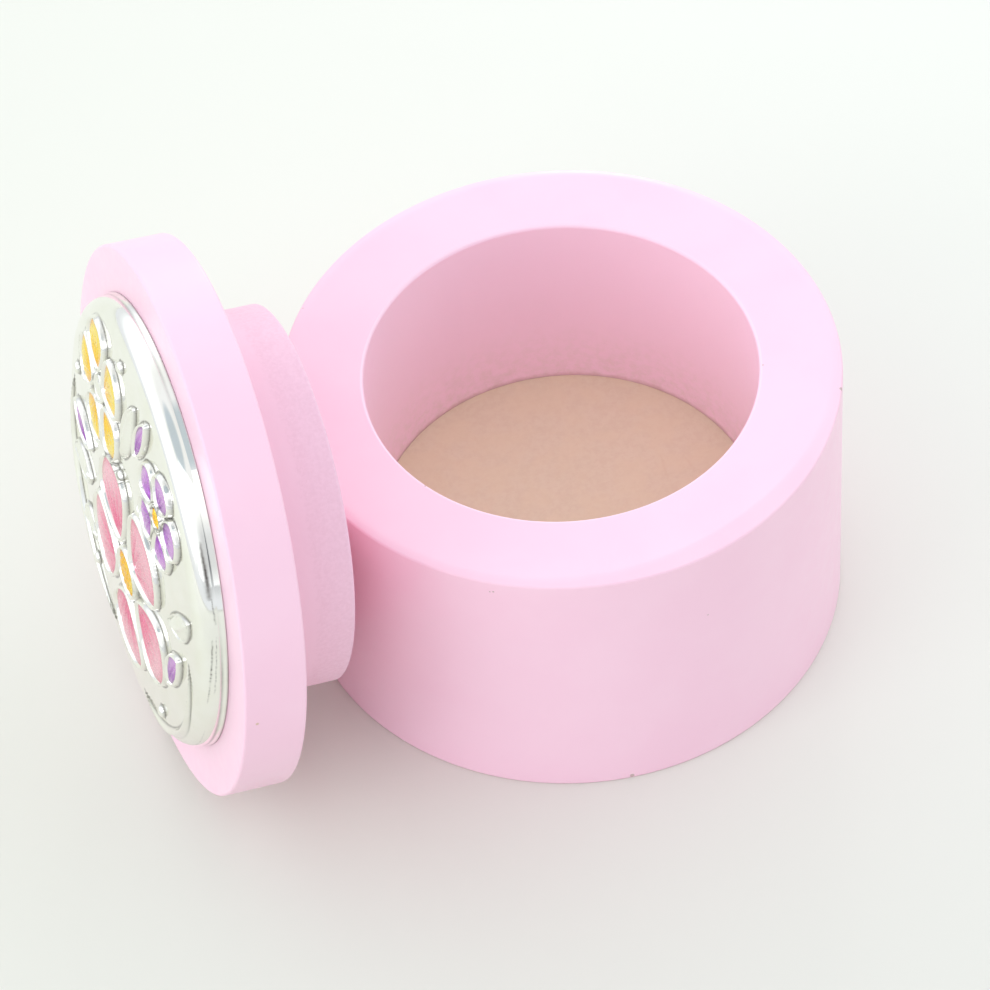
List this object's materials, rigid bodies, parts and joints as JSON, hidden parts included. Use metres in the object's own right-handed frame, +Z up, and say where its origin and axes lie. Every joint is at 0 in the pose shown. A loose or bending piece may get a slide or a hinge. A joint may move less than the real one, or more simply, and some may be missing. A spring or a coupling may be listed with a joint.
{
  "type": "keepsake box",
  "caption": "Small round keepsake box: a thick painted cup and a plug lid taken off and leaning on it, with a domed silvered plaque of enamelled flowers on the lid.",
  "frame": {"origin": "centre of the cup's underside, on the surface that it stands on", "axes": "+Z up along the cup's axis; the lid stands on the -X side of the cup and faces -X"},
  "size_m": [0.0816, 0.0607, 0.0595],
  "materials": {
    "pink_paint": "matt sprayed paint on turned fibreboard",
    "plug_paint": "matt sprayed paint with a fine orange peel",
    "bare_board": "bare sanded fibreboard, mottled",
    "adhesive": "dull self-adhesive film",
    "filler": "dull cast filler",
    "silver": "polished silvered sheet with tarnish in its creases",
    "pink_enamel": "glossy translucent enamel over grained metal",
    "yellow_enamel": "glossy translucent enamel, orange at its edges",
    "violet_enamel": "glossy translucent enamel over grained metal"
  },
  "bodies": {
    "box": {"cup_ring": "pink_paint", "cup_base": "bare_board"},
    "lid": {"lid_disc": "pink_paint", "lid_plug": "plug_paint", "plaque_adhesive": "adhesive", "plaque_backing": "filler", "plaque_silver": "silver", "pink_enamel": "pink_enamel", "yellow_enamel": "yellow_enamel", "violet_enamel": "violet_enamel"}
  },
  "joints": [
    {"name": "lid_lift", "type": "slide", "parent": "box", "child": "lid", "axis": [0, 0, 1], "range_m": [0, 0.06]}
  ]
}
